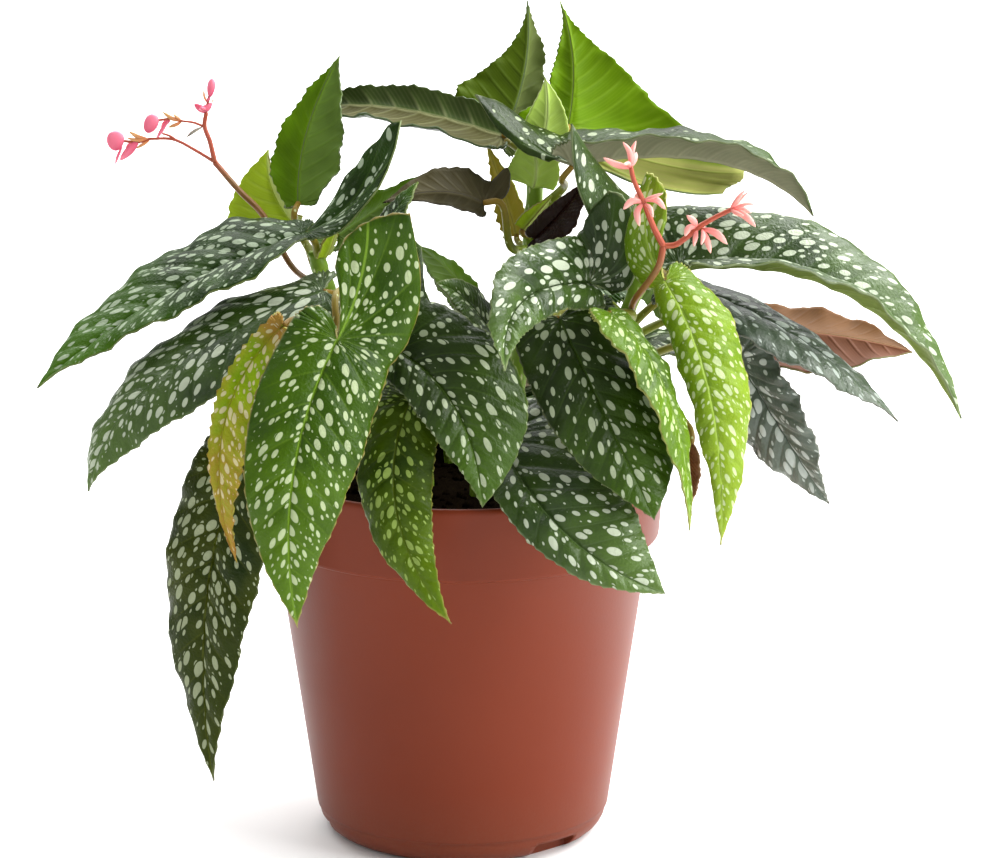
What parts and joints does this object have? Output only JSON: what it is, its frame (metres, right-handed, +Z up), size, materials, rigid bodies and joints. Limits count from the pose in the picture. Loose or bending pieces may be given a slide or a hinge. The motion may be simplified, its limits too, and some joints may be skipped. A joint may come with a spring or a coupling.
{
  "type": "potted begonia",
  "caption": "Cane begonia with silver-spotted, wing-shaped leaves and pink flower sprays, growing in soil in a plain round nursery pot that stands on its flat base.",
  "frame": {"origin": "middle of the pot's flat base", "axes": "+Z up, -Y towards the front that the picture shows, +X to its right"},
  "size_m": [0.3355, 0.2429, 0.3051],
  "materials": {
    "pot": "satin moulded terracotta-coloured plastic",
    "soil": "dark crumbly potting soil",
    "cane": "smooth green cane and petioles",
    "leaf_dark": "dark green leaf with silver spots, glossy",
    "leaf_green": "green leaf with silver spots, glossy",
    "leaf_bright": "bright young green leaf with pale spots, glossy",
    "leaf_yellow": "yellowing leaf with pale spots",
    "leaf_under": "plain green underside with raised veins",
    "leaf_red": "brownish red underside",
    "leaf_brown": "purple brown underside",
    "leaf_dead": "dry brown leaf",
    "bract": "pale green sheath, a little see-through",
    "petal_pink": "pink buds",
    "petal_salmon": "salmon pink flowers"
  },
  "bodies": {
    "root": {"bract_left": "bract", "bract_stem": "bract", "bract_top_lower": "bract", "bract_top_upper": "bract", "cane_back": "cane", "cane_centre": "cane", "cane_left": "cane", "cane_rear": "cane", "cane_right": "cane", "leaf_centre": "leaf_dark", "leaf_centre_olive": "leaf_under", "leaf_centre_small": "leaf_dark", "leaf_centre_upper": "leaf_dark", "leaf_front_large": "leaf_bright", "leaf_front_right": "leaf_dark", "leaf_front_small": "leaf_bright", "leaf_left_folded": "bract", "leaf_left_hanging": "leaf_dark", "leaf_left_inner": "leaf_under", "leaf_left_lower": "leaf_dark", "leaf_left_small": "leaf_green", "leaf_left_upper": "leaf_green", "leaf_left_upright": "leaf_under", "leaf_left_yellow": "leaf_yellow", "leaf_middle_brown": "leaf_brown", "leaf_middle_dying": "leaf_yellow", "leaf_middle_maroon": "leaf_brown", "leaf_over_rim": "leaf_dark", "leaf_rear_1": "leaf_green", "leaf_rear_2": "leaf_dark", "leaf_rear_3": "leaf_dark", "leaf_rear_4": "leaf_green", "leaf_rear_5": "leaf_dark", "leaf_rear_6": "leaf_dark", "leaf_rear_7": "leaf_bright", "leaf_rear_8": "leaf_green", "leaf_right_arching": "leaf_green", "leaf_right_bright": "leaf_bright", "leaf_right_dead": "leaf_dead", "leaf_right_grey": "leaf_dark", "leaf_right_lower": "leaf_dark", "leaf_right_red": "leaf_red", "leaf_right_slender": "leaf_bright", "leaf_top_centre": "leaf_under", "leaf_top_left": "leaf_under", "leaf_top_right": "leaf_under", "leaf_top_spotted": "leaf_dark", "pot": "pot", "soil": "soil", "spray_left": "petal_pink", "spray_right": "petal_salmon"}
  },
  "joints": []
}
